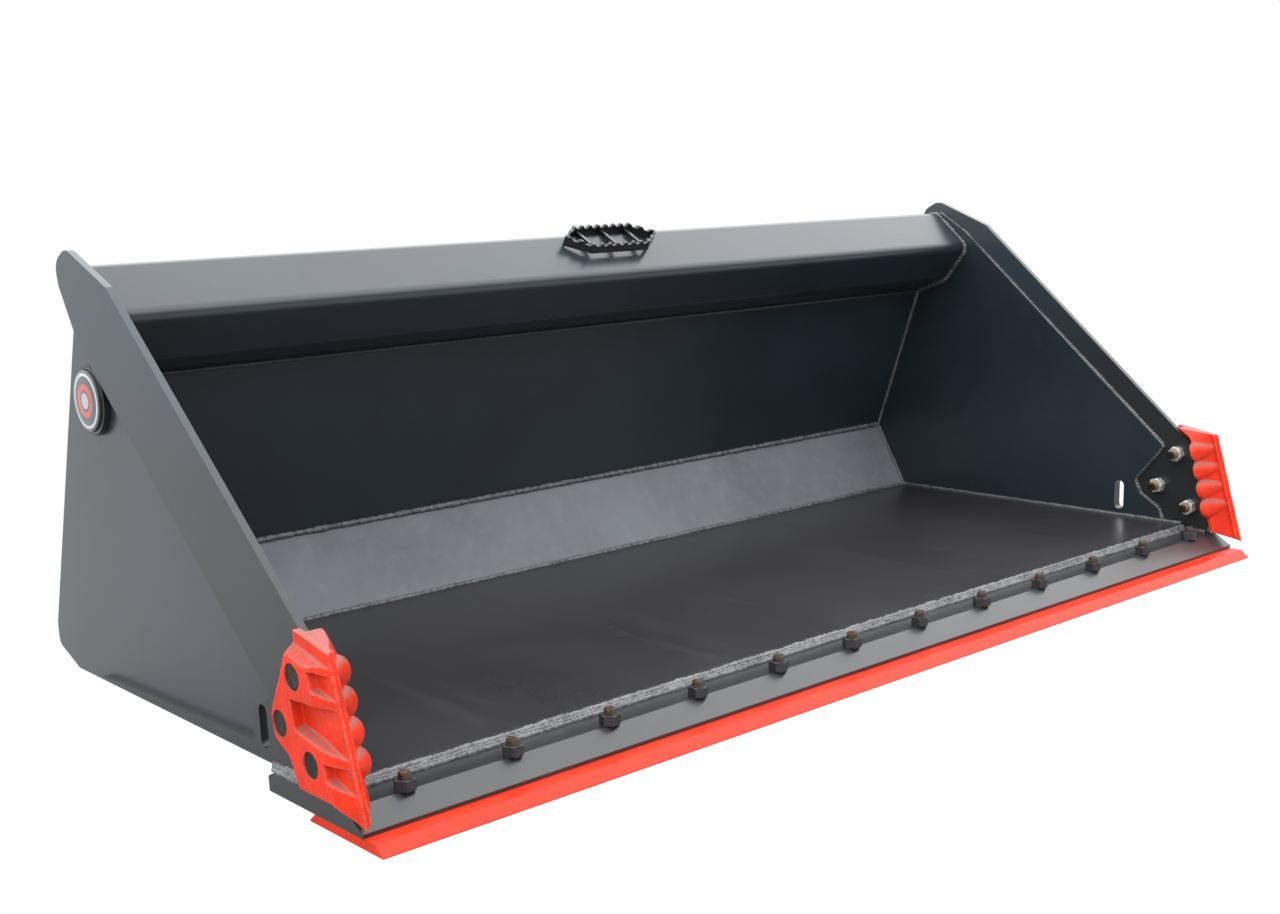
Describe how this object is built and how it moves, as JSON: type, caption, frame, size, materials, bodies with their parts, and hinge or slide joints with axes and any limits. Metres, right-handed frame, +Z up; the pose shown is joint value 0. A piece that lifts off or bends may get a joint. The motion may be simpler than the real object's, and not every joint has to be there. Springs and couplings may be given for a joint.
{
  "type": "skid steer bucket",
  "caption": "Low, wide loader bucket with raking sides, bolt-on reversible cutting edge, cast side cutters, folded top rail, grip step and rear quick attach plate.",
  "frame": {"origin": "middle of the bucket's footprint, at the underside of the bolt-on edge", "axes": "+X across the width, -Y towards the cutting edge, +Y towards the machine, +Z up with the floor level"},
  "size_m": [1.87, 0.9476, 0.6373],
  "materials": {
    "charcoal_paint": "satin charcoal paint",
    "floor_paint": "matte, lightly scuffed charcoal paint",
    "red_paint": "semi-gloss orange-red paint over cast and rolled steel",
    "dark_hardware": "black oxide with brown rust bloom",
    "zinc_hardware": "bright zinc plate",
    "black_paint": "satin black paint",
    "badge_face": "domed plastic with a plain ring"
  },
  "bodies": {
    "root": {"left_edge_plate": "charcoal_paint", "right_edge_plate": "charcoal_paint", "left_side_sheet": "charcoal_paint", "right_side_sheet": "charcoal_paint", "floor_plate": "floor_paint", "heel_plate": "charcoal_paint", "back_sheet": "charcoal_paint", "top_rail": "charcoal_paint", "base_edge": "charcoal_paint", "bolt_on_edge": "red_paint", "edge_bolts": "dark_hardware", "edge_nuts": "dark_hardware", "left_side_cutter": "red_paint", "right_side_cutter": "red_paint", "left_cutter_bolts": "dark_hardware", "right_cutter_bolts": "dark_hardware", "left_cutter_nuts": "zinc_hardware", "right_cutter_nuts": "zinc_hardware", "step_rear_grip": "black_paint", "step_front_grip": "black_paint", "step_brackets": "charcoal_paint", "left_badge_ring": "black_paint", "right_badge_ring": "black_paint", "left_badge_disc": "badge_face", "right_badge_disc": "badge_face", "coupler_plate": "charcoal_paint", "coupler_top_lip": "charcoal_paint", "coupler_bottom_flange": "charcoal_paint", "left_coupler_end": "charcoal_paint", "right_coupler_end": "charcoal_paint", "coupler_ribs": "charcoal_paint", "floor_wear_bars": "charcoal_paint"}
  },
  "joints": []
}
